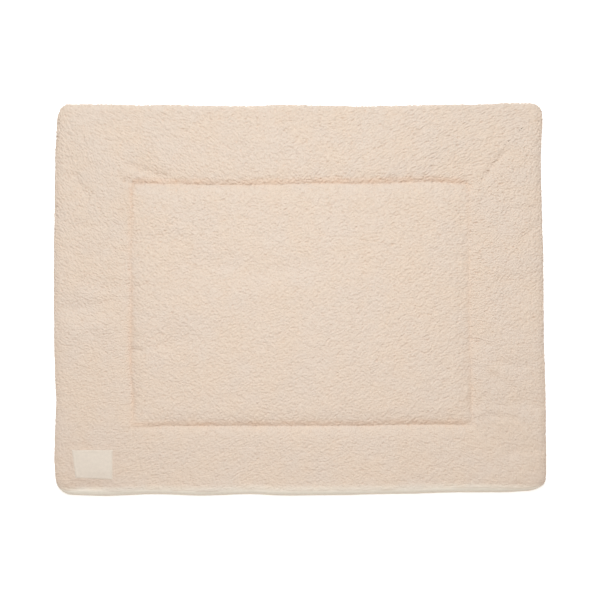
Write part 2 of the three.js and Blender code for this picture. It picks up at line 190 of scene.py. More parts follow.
# The back cloth
SHEET = 0.8 * MM
BACK_OUT = 0.5 * MM  # its outer face, over the padding
BACK_EDGE = -0.8 * MM  # the same at its edge, where it goes down into the pile
BACK_TURN = 5.0 * MM  # its edge turns into the seam over this length
EDGE_ANGLES = (-60.0, 88.0)  # between which its edge is looked for, in degrees above level
EDGE_HALVINGS = 8
FUZZ_REACH = 3.2 * MM  # how far the pile's loose fibres lie over it
FUZZ_MEAN = 0.75
BACK_STRIDE = 4  # border sections to one of the back's
BACK_RIM_COLUMNS = 20
BACK_CROWD = 1.15  # above 1, those columns stand closer at its edge
BACK_FLAT_COLUMNS = 8
GROOVE_REACH = 14 * MM
GROOVE_COLUMNS = 6
GATHER = {"reach": 17 * MM, "clear": 4 * MM}  # in from its edge, and up from the floor

# The label
# How far in from the label's edge the pile still rises, at its front left and its back right,
# and where it is at its full height outside
LABEL_LAP = {"near": 2.4 * MM, "far": 0.7 * MM, "out": 0.3 * MM}
LABEL_PRESS = {"depth": 0.6 * MM, "reach": 4 * MM}  # how far the pile is pressed down there
LABEL_BANK = {"height": 0.9 * MM, "reach": 3 * MM}  # the pile is squeezed up along its edge
LABEL_PAINTED_SHADE = {"share": 0.3, "reach": 20 * MM}  # and painted shade lies more round it
LABEL_STEP = 1.25 * MM
LABEL_HEM = {"width": 5 * MM, "height": 0.35 * MM, "soft": 0.8 * MM}
LABEL_WAVE_REACH = 10 * MM  # from its edge to where it waves in full
LABEL_THICK = 0.8 * MM
LABEL_ROUND = {"height": 0.8 * MM, "reach": 1.6 * MM}  # how its edge is rounded off
LABEL_THIN = {"share": 0.35, "reach": 1.2 * MM}  # and how thin it is there
LABEL_CROWN = {"height": 1.6 * MM, "reach": 8 * MM}
LABEL_SEAM_SHARE = 0.06  # how far towards its middle its stitches lie from the corners
LABEL_SEAM_POINTS = 40  # along each side

# The stitches, from start to end of one and from start to start of the next
STITCH = {"length": 3.9 * MM, "pitch": 5.4 * MM, "radius": 0.42 * MM, "dip": 0.7 * MM}
LABEL_STITCH = {"length": 2.0 * MM, "pitch": 2.9 * MM, "radius": 0.22 * MM, "dip": 0.3 * MM}
STITCH_LIFT = {"quilting": 0.3 * MM, "label": 0.1 * MM}  # their middles, over the cloth
STITCH_SIDES = 5
STITCH_THICK = (0.15, 0.85, 1, 1, 0.85, 0.15)  # shares of the radius, from end to end
STITCH_BOW = 2.5  # above 2, a stitch lies level for longer and dips more sharply

FRONT_COLOUR = (0.804, 0.657, 0.541)
# the pile's colour under full painted shade: between the nubs, in the sewn crease and round the label
FRONT_PAINTED_SHADE = (0.737, 0.568, 0.453)
FRONT_SEWN_SHADE = (1.03, 0.955, 0.9)  # painted shade: what the colour is multiplied by along the quilting
BACK_COLOUR = (0.90, 0.812, 0.695)
LABEL_COLOUR = (0.803, 0.688, 0.58)
THREAD_COLOUR = (0.775, 0.64, 0.53)
# How dark the low parts of the weave and of a thread are: painted shade in their grooves
WEAVE_SHADE = 0.93
THREAD_SHADE = 0.85

PIXEL = 2.045 * MM  # one pixel of the picture, on the mat
PICTURE_PIXELS = 600
CAMERA_HEIGHT = 3.2
CAMERA_PLACE = (0.0, -0.5 * MM)

FLOOR = {"half": 40.0, "drop": 0.2 * MM, "white": (0.93, 0.93, 0.93), "glow": 0.45}
SKY = {"colour": (1, 0.885, 0.80), "strength": 0.405}
LAMPS = (
    # name, place, size, power and colour, each aimed at the mat's middle
    ("key", (-0.12, 1.95, 2.85), 1.0, 74.5, (0.84, 0.98, 1.07)),
    ("fill", (-0.1, -1.9, 2.3), 1.6, 9, (0.94, 0.985, 1)),
    ("overhead", (-0.03, 0.03, 1.25), 0.5, 3.2, (0.94, 0.985, 1)),
)


# Small tools


def smooth(values, sigma, axis, wrap=False):
    """values, blurred along one axis by sigma samples. Without wrap, the ends stay in place."""
    reach = int(math.ceil(3 * sigma))
    taps = np.arange(-reach, reach + 1)
    weights = np.exp(-0.5 * (taps / sigma) ** 2)
    weights /= weights.sum()
    moved = np.moveaxis(values, axis, 0)
    count = len(moved)
    if wrap:
        padded = np.concatenate([moved[-reach:], moved, moved[:reach]])
    else:
        before = 2 * moved[:1] - moved[1 : reach + 1][::-1]
        after = 2 * moved[-1:] - moved[-reach - 1 : -1][::-1]
        padded = np.concatenate([before, moved, after])
    blurred = sum(w * padded[i : i + count] for i, w in enumerate(weights))
    return np.moveaxis(blurred, 0, axis)


def smoothstep(value, low, high):
    share = np.clip((value - low) / (high - low), 0, 1)
    return share * share * (3 - 2 * share)


def bell(distance, reach):
    """1 at no distance, a third at that reach, and next to nothing at twice as far."""
    return np.exp(-((distance / reach) ** 2))


def lattice(cells_x, cells_y, seed):
    """Pseudo-random numbers from 0 to 1 for whole cell numbers, the same for the same seed."""
    mixed = cells_x * 374761393 + cells_y * 668265263 + seed * 974634777
    mixed = (mixed ^ (mixed >> 13)) * 1274126177
    mixed = mixed ^ (mixed >> 16)
    return (mixed & 0xFFFFFF) / 0xFFFFFF


def value_noise(x, y, size, seed):
    """Smooth noise from -1 to 1, with bumps of about that size."""
    u, v = x / size, y / size
    i, j = np.floor(u).astype(np.int64), np.floor(v).astype(np.int64)
    fu, fv = (f * f * f * (f * (f * 6 - 15) + 10) for f in (u - i, v - j))
    low = lattice(i, j, seed) * (1 - fu) + lattice(i + 1, j, seed) * fu
    high = lattice(i, j + 1, seed) * (1 - fu) + lattice(i + 1, j + 1, seed) * fu
    return 2 * (low * (1 - fv) + high * fv) - 1


def uneven(x, y, kind):
    """Unevenness of that kind at points in plan, or on the cloth laid flat."""
    size, reach, layers, seed = UNEVEN[kind]
    total = sum(value_noise(x, y, size / 2**n, seed + n) / 2**n for n in range(layers))
    return reach * (total / (2 - 0.5 ** (layers - 1)))


def cells(x, y, size, seed):
    """Distances to the nearest two of a field of scattered points, in sizes, and a random
    number of the nearest."""
    u, v = x / size, y / size
    i, j = np.floor(u).astype(np.int64), np.floor(v).astype(np.int64)
    nearest = np.full(u.shape, 9.0)
    second = np.full(u.shape, 9.0)
    tone = np.zeros(u.shape)
    for di in (-1, 0, 1):
        for dj in (-1, 0, 1):
            px = i + di + lattice(i + di, j + dj, seed)
            py = j + dj + lattice(i + di, j + dj, seed + 1)
            distance = np.hypot(px - u, py - v)
            closer = distance < nearest
            second = np.where(closer, nearest, np.minimum(second, distance))
            tone = np.where(closer, lattice(i + di, j + dj, seed + 2), tone)
            nearest = np.where(closer, distance, nearest)
    return nearest, second, tone


def solid_tree(node):
    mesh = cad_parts[node].data
    faces = [tuple(p.vertices) for p in mesh.polygons]
    return BVHTree.FromPolygons([v.co for v in mesh.vertices], faces)


def heights_on(tree, x, y, under=False):
    """The heights of a solid's top, or else of its underside, at points in plan."""
    start = -1 if under else 1
    way = Vector((0, 0, -start))
    hits = [tree.ray_cast(Vector((a, b, start)), way)[0] for a, b in zip(x.flat, y.flat)]
    return np.array([hit.z if hit else 0.0 for hit in hits]).reshape(x.shape)


PAD_TREE = solid_tree("padded_mat")
BACK_TREE = solid_tree("back_cloth")


# The quilting, found as the lowest line of the pad's top between the border and the panel


def quilting_line(axis, sign):
    """Positions of the quilting along one side, as (place along the side, place across it)."""
    half = (RIM_HIGH.x, RIM_HIGH.y)
    search = QUILTING_SEARCH
    offsets = np.linspace(-search["reach"], search["reach"], search["across"])
    across = sign * half[axis] * QUILTING_SHARE[axis] + offsets
    along_half = half[1 - axis] * QUILTING_SHARE[1 - axis] - search["short"]
    along = np.linspace(-along_half, along_half, search["along"])
    first, second = np.meshgrid(along, across, indexing="ij")
    x, y = (second, first) if axis == 0 else (first, second)
    lowest = np.argmin(heights_on(PAD_TREE, x, y), axis=1)
    return along, smooth(across[lowest], search["blur"], 0)


QUILTING = {
    "left": quilting_line(0, -1),
    "right": quilting_line(0, 1),
    "front": quilting_line(1, -1),
    "back": quilting_line(1, 1),
}


def quilting_at(side, along):
    return np.interp(along, *QUILTING[side])


def quilting_corner(across_side, along_side):
    """Where the line of a left or right side meets that of a front or back side."""
    x, y = 0.0, 0.0
    for _ in range(CORNER_ROUNDS):
        x, y = quilting_at(across_side, y), quilting_at(along_side, x)
    return float(x), float(y)


# Anticlockwise, each at the start of its side
QUILTING_CORNERS = {
    "front": quilting_corner("left", "front"),
    "right": quilting_corner("right", "front"),
    "back": quilting_corner("right", "back"),
    "left": quilting_corner("left", "back"),
}


def outside_sides(x, y):
    """How far a point lies outside each side's line, below 0 inside it."""
    return {
        "front": quilting_at("front", x) - y,
        "right": x - quilting_at("right", y),
        "back": y - quilting_at("back", x),
        "left": quilting_at("left", y) - x,
    }


def outside_quilting(x, y):
    """How far a point lies outside the quilting, below 0 inside it."""
    return np.maximum.reduce(list(outside_sides(x, y).values()))


def quilting_share(x, y, shares):
    """The share of the nearest line of stitches, going over softly from side to side."""
    sides = outside_sides(x, y)
    nearest = np.maximum.reduce(list(sides.values()))
    weights = {name: np.exp((value - nearest) / CORNER_BLEND) for name, value in sides.items()}
    total = sum(shares[name] * weight for name, weight in weights.items())
    return total / sum(weights.values())


def sewn_painted_shade(x, y):
    """How much painted shade, warmer and darker, lies along the quilting, 0 to 1."""
    near = bell(outside_quilting(x, y - SEWN_SIDE), SEWN_REACH)
    return quilting_share(x, y, SEWN_SHADE_SHARE) * (SEWN_MEAN + uneven(x, y, "sewn")) * near


# The label's outline, anticlockwise from the corner nearest the mat's


def label_corners():
    places = np.array([v.co[:2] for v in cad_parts["label"].data.vertices])
    ways = ((-1, -1), (1, -1), (1, 1), (-1, 1))
    return [places[np.argmax(places @ np.array(way))] for way in ways]


LABEL_CORNERS = label_corners()


def label_outside(x, y):
    """How far a point lies outside the label, below 0 inside it."""
    distances = []
    for start, end in zip(LABEL_CORNERS, LABEL_CORNERS[1:] + LABEL_CORNERS[:1]):
        run = (end - start) / np.linalg.norm(end - start)
        distances.append((x - start[0]) * run[1] - (y - start[1]) * run[0])
    return np.maximum.reduce(distances)


def label_lap(x, y):
    """How far in from the label's edge the pile still rises beside it."""
    front_left, _, back_right, _ = LABEL_CORNERS
    run = back_right - front_left
    share = ((x - front_left[0]) * run[0] + (y - front_left[1]) * run[1]) / (run @ run)
    return LABEL_LAP["near"] + (LABEL_LAP["far"] - LABEL_LAP["near"]) * smoothstep(share, 0.1, 0.9)


# The pile and the relief that it is laid over


def creases(x, y):
    total = np.zeros(x.shape)
    for values in CREASES_MM:
        row = dict(zip(CREASE_COLUMNS, values))
        start = np.array([row["x"], row["y"]]) * MM
        run = np.array([row["to_x"], row["to_y"]]) * MM - start
        length = np.hypot(*run)
        along = ((x - start[0]) * run[0] + (y - start[1]) * run[1]) / length
        across = ((x - start[0]) * run[1] - (y - start[1]) * run[0]) / length
        past = np.maximum(0, np.maximum(-along, along - length))
        reach = row["reach"] * MM
        total += row["rise"] * MM * np.exp(-(across**2 + past**2) / reach**2)
    return total


def channel_distance(x, y):
    """How far a point lies from the middle of the sewn channel, which wanders a little."""
    return np.abs(outside_quilting(x, y) + uneven(x, y, "wander"))


def relief(x, y):
    """What the top rises over the smooth solid: swells, creases and the sewn channel."""
    outside = channel_distance(x, y)
    swell = smoothstep(outside, 0, SWELL_CLEAR) * uneven(x, y, "swell")
    pucker = uneven(x, y, "pucker") * np.exp(-outside / PUCKER_REACH)
    channel = -CREASE_DEPTH * (1 + uneven(x, y, "crease")) * bell(outside, CREASE_REACH)
    total = swell + uneven(x, y, "ripple") + pucker
    return total + channel * quilting_share(x, y, CREASE_SHARE) + creases(x, y)


def pile(x, y):
    """The pile's height over its cloth, and the painted shade at each point, 0 to 1."""
    u, v = (x + uneven(x, y, "nub_x")) / NUB_STRETCH, y + uneven(x, y, "nub_y")
    near, far, tone = cells(u, v, NUB["size"], NUB_SEED)
    nub = np.clip(1 - near * near, 0, 1) * (NUB["least"] + (1 - NUB["least"]) * tone)
    slope = 1 + NUB_SLOPE[0] * x / RIM_HIGH.x + NUB_SLOPE[1] * y / RIM_HIGH.y
    slope -= NUB_SIDES["share"] * smoothstep(np.abs(x), NUB_SIDES["from"], NUB_SIDES["full"])
    height = NUB["height"] * slope * (nub - NUB["level"]) + uneven(x, y, "tuft")
    gap = 1 - smoothstep(far - near, 0, NUB["gap"])
    outside = channel_distance(x, y)
    # painted shade: darkest in the gaps and low between the nubs
    deep = np.clip(GAP_PAINTED_SHADE * gap + (1 - GAP_PAINTED_SHADE) * (1 - nub), 0, 1)
    # painted shade in the sewn crease
    deep += CREASE_PAINTED_SHADE["share"] * bell(outside, CREASE_PAINTED_SHADE["reach"]) * (1 - deep)
    beside = label_outside(x, y) + uneven(x, y, "lap")
    # painted shade round the label
    near_label = bell(np.maximum(beside, 0), LABEL_PAINTED_SHADE["reach"])
    deep += LABEL_PAINTED_SHADE["share"] * near_label * (1 - deep)
    free = smoothstep(beside, -label_lap(x, y), LABEL_LAP["out"])
    height += LABEL_BANK["height"] * bell(beside, LABEL_BANK["reach"])
    sewn = smoothstep(outside, SEWN_FLAT["full"], SEWN_FLAT["from"])
    pressed = LABEL_PRESS["depth"] * smoothstep(-beside, 0, LABEL_PRESS["reach"])
    return height * (FLAT_SHARE + (1 - FLAT_SHARE) * free * sewn) - pressed, deep


# Grids to meshes


def add_object(name, data):
    added = bpy.data.objects.new(name, data)
    bpy.context.scene.collection.objects.link(added)
    return added


def grid_normals(points):
    normal = np.cross(np.gradient(points, axis=0), np.gradient(points, axis=1))
    length = np.linalg.norm(normal, axis=-1, keepdims=True)
    return normal / np.maximum(length, 1e-12)


def grid_quads(rows, columns, first=0):
    """Quads over a grid of points. Their normals point along rows cross columns."""
    index = first + np.arange(rows * columns).reshape(rows, columns)
    corners = [index[:-1, :-1], index[1:, :-1], index[1:, 1:], index[:-1, 1:]]
    return np.stack(corners, axis=-1).reshape(-1, 4)


def band_quads(first, second):
    """Quads between two closed loops of point numbers."""
    return np.stack([first, np.roll(first, -1), np.roll(second, -1), second], axis=-1)


def edge_loop(rows, columns):
    """The numbers of the points round a grid's edge, first down the rows of its first side."""
    index = np.arange(rows * columns).reshape(rows, columns)
    return np.concatenate([index[:-1, 0], index[-1, :-1], index[:0:-1, -1], index[0, :0:-1]])


def cap_triangles(points, loop, face_down):
    """Triangles that close a nearly level loop of points."""
    outline = [Vector((*points[i][:2], 0)) for i in loop]
    triangles = np.array([[loop[k] for k in corner] for corner in tessellate_polygon([outline])])
    a, b, c = (points[triangles[:, k], :2] for k in range(3))
    area = (b - a)[:, 0] * (c - a)[:, 1] - (b - a)[:, 1] * (c - a)[:, 0]
    wrong = area > 0 if face_down else area < 0
    triangles[wrong] = triangles[wrong][:, ::-1]
    return triangles


NO_FACES = np.zeros((0, 3), int)


def make_piece(name, points, quads, triangles=NO_FACES, attributes=(), cloth=None, normals=None):
    """A piece with the given points and faces. `attributes` are values of its points, `cloth`
    their places on the flat cloth, and `normals` the directions that they are shaded by."""
    corners = np.concatenate([quads.ravel(), triangles.ravel()]).astype(np.int32)
    starts = [np.arange(len(quads)) * 4, quads.size + np.arange(len(triangles)) * 3]
    starts = np.concatenate(starts).astype(np.int32)
    mesh = bpy.data.meshes.new(name)
    mesh.vertices.add(len(points))
    mesh.vertices.foreach_set("co", points.astype(np.float32).ravel())
    mesh.loops.add(len(corners))
    mesh.loops.foreach_set("vertex_index", corners)
    mesh.polygons.add(len(starts))
    mesh.polygons.foreach_set("loop_start", starts)
    mesh.update(calc_edges=True)
    mesh.shade_smooth()
    for key, values in attributes:
        attribute = mesh.attributes.new(key, "FLOAT", "POINT")
        attribute.data.foreach_set("value", values.astype(np.float32).ravel())
    if cloth is not None:
        layer = mesh.uv_layers.new(name="cloth")
        layer.uv.foreach_set("vector", cloth[corners].astype(np.float32).ravel())
    if normals is not None:
        mesh.normals_split_custom_set_from_vertices(normals)
    return add_object(name, mesh)


def grid_at(grid, rows, columns):
    """Values of a grid at places between its points."""
    r0 = np.minimum(rows.astype(int), grid.shape[0] - 2)
    c0 = np.minimum(columns.astype(int), grid.shape[1] - 2)
    fr, fc = (rows - r0)[:, None], (columns - c0)[:, None]
    near = grid[r0, c0] * (1 - fc) + grid[r0, c0 + 1] * fc
    far = grid[r0 + 1, c0] * (1 - fc) + grid[r0 + 1, c0 + 1] * fc
    return near * (1 - fr) + far * fr


def padded_piece(name, points, normals, first_inset, **values):
    """A grid of pile as the top of a closed, filled body, with `values` of the grid's points.
    Its bottom lies `first_inset` steps in from the first column."""
    rows, columns = points.shape[:2]
    top = edge_loop(rows, columns)
    row, column = np.divmod(top, columns)
    inner_rows = CLOSE_INSET + row * (1 - 2 * CLOSE_INSET / (rows - 1))
    inner_columns = first_inset + column * (1 - (first_inset + CLOSE_INSET) / (columns - 1))
    bottom_points = grid_at(points, inner_rows, inner_columns)
    bottom_points[:, 2] = CLOSE_HEIGHT
    bottom = rows * columns + np.arange(len(top))
    everything = np.concatenate([points.reshape(-1, 3), bottom_points])
    down = np.tile([0.0, 0.0, -1.0], (len(top), 1))
    quads = np.concatenate([grid_quads(rows, columns), band_quads(bottom, top)])
    return make_piece(
        name,
        everything,
        quads,
        cap_triangles(everything, bottom, face_down=True),
        attributes=[
            (key, np.concatenate([grid.ravel(), np.zeros(len(top))])) for key, grid in values.items()
        ],
        normals=np.concatenate([normals.reshape(-1, 3), down]),
    )


def padded_parts(kind, parts, points, first_inset, **values):
    """Padded pieces of a grid, one for each of its named slices of rows."""
    normals = grid_normals(points)
    pieces = []
    for name, part in parts.items():
        own = {key: grid[part] for key, grid in values.items()}
        own_place = points[part], normals[part], first_inset
        pieces.append(padded_piece(f"{kind}_{name}", *own_place, **own))
    return pieces


# The border and rim: a closed ring of cross-sections, from the quilting out and round the rim


SIDE_NAMES = ("front", "right", "back", "left")


def rim_sides(count):
    """Points of the rim's nominal outline by side, each from one corner's middle to the next."""
    low, high, r = RIM_LOW, RIM_HIGH, CORNER_RADIUS
    left, right, front, back = low.x + r, high.x - r, low.y + r, high.y - r
    centres = np.array([(left, front), (right, front), (right, back), (left, back)])
    quarter = math.pi / 4
    arc = r * quarter
    sides = []
    for side in range(4):
        start, end = centres[side], centres[(side + 1) % 4]
        straight = np.linalg.norm(end - start)
        travelled = np.linspace(0, straight + 2 * arc, count[side] + 1)[:-1]
        before = np.clip((travelled - arc) / r, -quarter, 0)
        after = np.clip((travelled - arc - straight) / r, 0, quarter)
        run = np.clip((travelled - arc) / straight, 0, 1)
        centre = start + run[:, None] * (end - start)
        angle = math.radians(90 * side - 90) + before + after
        sides.append(centre + r * np.stack([np.cos(angle), np.sin(angle)], axis=-1))
    return sides


def quilting_sides(count):
    """Points of the quilting by side, in step with the rim's."""
    sides = []
    for side, name in enumerate(SIDE_NAMES):
        start = QUILTING_CORNERS[name]
        end = QUILTING_CORNERS[SIDE_NAMES[(side + 1) % 4]]
        share = np.linspace(0, 1, count[side] + 1)[:-1]
        x, y = (first + share * (last - first) for first, last in zip(start, end))
        if name in ("front", "back"):
            y = quilting_at(name, x)
        else:
            x = quilting_at(name, y)
        sides.append(np.stack([x, y], axis=-1))
    return sides


def fan_direction(outward, angle):
    """Directions from the rim's axis at an angle in degrees above level, one for each section."""
    turn = np.radians(angle)[:, None]
    return np.hstack([outward * np.cos(turn), FAN_SQUASH * np.sin(turn)])


def ray_hits(tree, origins, directions):
    hits = [tree.ray_cast(Vector(o), Vector(d))[0] for o, d in zip(origins, directions)]
    return np.array([tuple(hit) if hit else (np.nan,) * 3 for hit in hits])


def back_edge_angles(axis_points, outward):
    """The angle above level, in degrees, at which each section's back cloth ends."""
    low, high = (np.full(len(axis_points), angle) for angle in EDGE_ANGLES)
    for _ in range(EDGE_HALVINGS):
        middle = (low + high) / 2
        hit = ~np.isnan(ray_hits(BACK_TREE, axis_points, fan_direction(outward, middle))[:, 0])
        low, high = np.where(hit, middle, low), np.where(hit, high, middle)
    return smooth(low, SECTION_BLUR, 0, wrap=True)


class Ring:
    """The mat's cross-sections, anticlockwise round it from the front left corner. Each has
    points from the quilting over the border and round the rim to under its axis."""

    def __init__(self):
        size = RIM_HIGH - RIM_LOW
        self.count = [
            BACK_STRIDE * round(side / (step * BACK_STRIDE)) for side, step in zip(size, PILE_STEP)
        ] * 2
        self.sewn = np.concatenate(quilting_sides(self.count))
        spoke = np.concatenate(rim_sides(self.count)) - self.sewn
        self.length = np.linalg.norm(spoke, axis=1)
        self.outward = spoke / self.length[:, None]
        self.measure()

    def measure(self):
        """Reads the sections off the solids."""
        to_axis = self.length - AXIS_INSIDE
        reach = np.linspace(0, 1, TOP_SAMPLES, endpoint=False)[None, :] * to_axis[:, None]
        plan = self.in_plan(reach)
        height = heights_on(PAD_TREE, plan[..., 0], plan[..., 1])
        axis_height = np.full((len(self.sewn), 1), AXIS_HEIGHT)
        axis = np.concatenate([self.in_plan(to_axis[:, None])[:, 0], axis_height], axis=1)
        fan = [ray_hits(PAD_TREE, axis, fan_direction(self.outward, a + 0 * to_axis)) for a in FAN_ANGLES]
        fan = np.stack(fan, axis=1)
        fan_reach = np.einsum("snk,sk->sn", fan[..., :2] - self.sewn[:, None], self.outward)
        share = np.concatenate([reach, fan_reach], axis=1) / self.length[:, None]
        height = np.concatenate([height, fan[..., 2]], axis=1)
        share = smooth(share, SECTION_BLUR, 0, wrap=True)
        height = smooth(smooth(height, SECTION_BLUR, 0, wrap=True), PROFILE_BLUR, 1)
        self.reach = share * self.length[:, None]
        self.height = height
        steps = np.hypot(np.diff(self.reach, axis=1), np.diff(height, axis=1))
        self.arc = np.concatenate([np.zeros((len(steps), 1)), np.cumsum(steps, axis=1)], axis=1)
        angle = back_edge_angles(axis, self.outward)
        fan_arc = self.arc[:, TOP_SAMPLES:]
        self.edge_arc = np.array([np.interp(-a, -FAN_ANGLES, arc) for a, arc in zip(angle, fan_arc)])
        self.axis_arc = self.arc[:, TOP_SAMPLES]
        past = self.arc - self.edge_arc[:, None]
        lift = sum(
            row["height"] * smoothstep(past, row["from"], row["full"]) for row in (LEVEL, THICK)
        )
        lift *= 1 - smoothstep(past, LEVEL_END["from"], LEVEL_END["to"])
        self.height += lift * self.by_side({"front": 1})[:, None]

    def by_side(self, values):
        """A value for each section from those of the sides, going over softly at the corners."""
        sides = [np.full(count, values.get(name, 0.0)) for name, count in zip(SIDE_NAMES, self.count)]
        return smooth(np.concatenate(sides), CORNER_BLUR, 0, wrap=True)

    def in_plan(self, reach):
        return self.sewn[:, None] + reach[..., None] * self.outward[:, None]

    def at_arcs(self, arcs):
        """The points at distances along each section from the quilting, a row for each."""
        reach, height = (
            np.array([np.interp(*section) for section in zip(arcs, self.arc, values)])
            for values in (self.reach, self.height)
        )
        return np.concatenate([self.in_plan(reach), height[..., None]], axis=-1)

    def on_cloth(self, arcs, points):
        """The places of those points on the cloth, laid flat past the rim's axis."""
        past = np.maximum(0, arcs - self.axis_arc[:, None])
        axis = self.in_plan((self.length - AXIS_INSIDE)[:, None])
        flat = axis + past[..., None] * self.outward[:, None]
        return np.where((past > 0)[..., None], flat, points[..., :2])


def wrap_rows(values, before, after):
    """A closed ring's rows with some of them repeated past its ends."""
    return np.concatenate([values[len(values) - before :], values, values[:after]])


def border_strips(ring):
    """The pile cloth of the border, one piece for each side between its mitres."""
    last = ring.edge_arc + TUCK
    columns = round(float(np.median(last)) / BORDER_STEP)
    arcs = np.linspace(1, 0, columns + 1)[None, :] * last[:, None]
    points = ring.at_arcs(arcs)
    cloth = ring.on_cloth(arcs, points)
    past = arcs - ring.edge_arc[:, None]
    points, cloth, past = (wrap_rows(v, WRAP, WRAP + 1) for v in (points, cloth, past))
    x, y = cloth[..., 0], cloth[..., 1]
    normal = grid_normals(points)
    upright = np.clip(normal[..., 2], 0, 1)
    points[..., 2] += relief(x, y) * upright
    normal = grid_normals(points)
    height, deep = pile(x, y)
    stand = wrap_rows(ring.by_side(RIM_STAND), WRAP, WRAP + 1)[:, None] * (1 - upright)
    full = smoothstep(TUCK_PAST - past, 0, TUCK_FADE)
    height = (height + stand) * full
    deep = deep * (1 - TUCK_LIGHT * (1 - full))
    height -= TUCK_SINK["depth"] * smoothstep(past, TUCK_SINK["from"], TUCK_SINK["to"])
    points = points + normal * height[..., None]
    sewn = sewn_painted_shade(x, y)
    # painted light along the front edge
    pale = FRONT_PAINTED_LIGHT["share"] * smoothstep(past, FRONT_PAINTED_LIGHT["from"], FRONT_PAINTED_LIGHT["full"])
    pale = pale * wrap_rows(ring.by_side({"front": 1}), WRAP, WRAP + 1)[:, None]
    ends = np.cumsum([WRAP, *ring.count])
    parts = {name: slice(a, b + 1) for name, a, b in zip(SIDE_NAMES, ends, ends[1:])}
    return padded_parts("pile_border", parts, points, RIM_INSET, deep=deep, sewn=sewn, pale=pale)


# The panel inside the quilting


def panel_plan(nx, ny):
    """Places in plan on a grid that the four sewn lines span between them."""
    fl, fr, br, bl = (QUILTING_CORNERS[name] for name in SIDE_NAMES)
    u = np.linspace(0, 1, nx + 1)[:, None]
    v = np.linspace(0, 1, ny + 1)[None, :]
    front_x, back_x = fl[0] + u * (fr[0] - fl[0]), bl[0] + u * (br[0] - bl[0])
    left_y, right_y = fl[1] + v * (bl[1] - fl[1]), fr[1] + v * (br[1] - fr[1])
    x = (1 - u) * quilting_at("left", left_y) + u * quilting_at("right", right_y)
    y = (1 - v) * quilting_at("front", front_x) + v * quilting_at("back", back_x)
    return x, y


def panel_halves():
    """The pile cloth of the panel, in a left and a right half."""
    corners = np.array(list(QUILTING_CORNERS.values()))
    span = corners.max(axis=0) - corners.min(axis=0)
    nx, ny = round(span[0] / PILE_STEP[0]), round(span[1] / PILE_STEP[1])
    x, y = panel_plan(nx, ny)
    height = heights_on(PAD_TREE, x, y)
    height = smooth(smooth(height, PANEL_BLUR, 0), PANEL_BLUR, 1) + relief(x, y)
    points = np.stack([x, y, height], axis=-1)
    rise, deep = pile(x, y)
    points = points + grid_normals(points) * rise[..., None]
    halves = {"left": slice(0, nx // 2 + 1), "right": slice(nx // 2, nx + 1)}
    sewn = sewn_painted_shade(x, y)
    return padded_parts("pile_panel", halves, points, CLOSE_INSET, deep=deep, sewn=sewn)


# The back cloth: a closed sheet under the mat that turns up round the rim to the seam


def back_sheet(ring):
    chosen = slice(None, None, BACK_STRIDE)
    share = np.linspace(0, 1, BACK_RIM_COLUMNS + 1) ** BACK_CROWD
    end = ring.arc[:, -1]
    arcs = ring.edge_arc[:, None] + share[None, :] * (end - ring.edge_arc)[:, None]
    points = ring.at_arcs(arcs)
    cloth = ring.on_cloth(arcs, points)[chosen]
    x, y = cloth[..., 0], cloth[..., 1]
    normal = -grid_normals(wrap_rows(points, 1, 1))[1:-1]
    past_edge = (arcs - ring.edge_arc[:, None])[chosen]
    points, normal = points[chosen], normal[chosen]
    turn = smoothstep(past_edge, 0, BACK_TURN)
    gather = uneven(x, y, "gather") * np.exp(-past_edge / GATHER["reach"]) * turn
    level = np.clip(points[..., 2] / GATHER["clear"], 0, 1)
    out = BACK_EDGE + (BACK_OUT - BACK_EDGE) * turn + gather * level
    outer = points + normal * out[..., None]
    inner = points + normal * (out - SHEET)[..., None]
    outer[..., 2] = np.maximum(outer[..., 2], 0)
    inner[..., 2] = np.maximum(inner[..., 2], SHEET)
    rings = [(outer[:, k], inner[:, k], cloth[:, k]) for k in range(BACK_RIM_COLUMNS + 1)]
    fuzz = ((FUZZ_MEAN + uneven(x, y, "fuzz")) * bell(past_edge, FUZZ_REACH)).T.ravel()
    to_axis = (ring.length - AXIS_INSIDE)[chosen]
    flat = np.linspace(to_axis, GROOVE_REACH, BACK_FLAT_COLUMNS + 1)[1:]
    groove = np.linspace(GROOVE_REACH, -GROOVE_REACH, 2 * GROOVE_COLUMNS + 1)[1:]
    for reach in [*flat, *groove]:
        plan = ring.sewn[chosen] + np.reshape(reach, (-1, 1)) * ring.outward[chosen]
        low = heights_on(BACK_TREE, plan[:, 0], plan[:, 1], under=True)
        low = smooth(np.maximum(low, 0), BACK_BLUR, 0, wrap=True)[:, None]
        rings.append((np.hstack([plan, low]), np.hstack([plan, low + SHEET]), plan))
    size = len(to_axis)
    everything = np.concatenate([r[0] for r in rings] + [r[1] for r in rings])
    on_cloth = np.concatenate([r[2] for r in rings] * 2)
    none = np.zeros(len(everything) // 2 - len(fuzz))
    fuzz = np.concatenate([fuzz, none, fuzz, none])
    number = np.arange(len(everything)).reshape(2, len(rings), size)
    quads = [band_quads(number[0, k + 1], number[0, k]) for k in range(len(rings) - 1)]
    quads += [band_quads(number[1, k], number[1, k + 1]) for k in range(len(rings) - 1)]
    quads.append(band_quads(number[0, 0], number[1, 0]))
    caps = [
        cap_triangles(everything, number[0, -1], face_down=True),
        cap_triangles(everything, number[1, -1], face_down=False),
    ]
    quads, caps = np.concatenate(quads), np.concatenate(caps)
    return make_piece("back_sheet", everything, quads, caps, [("fuzz", fuzz)], on_cloth)


# The label: a closed sheet, a little higher along its hem


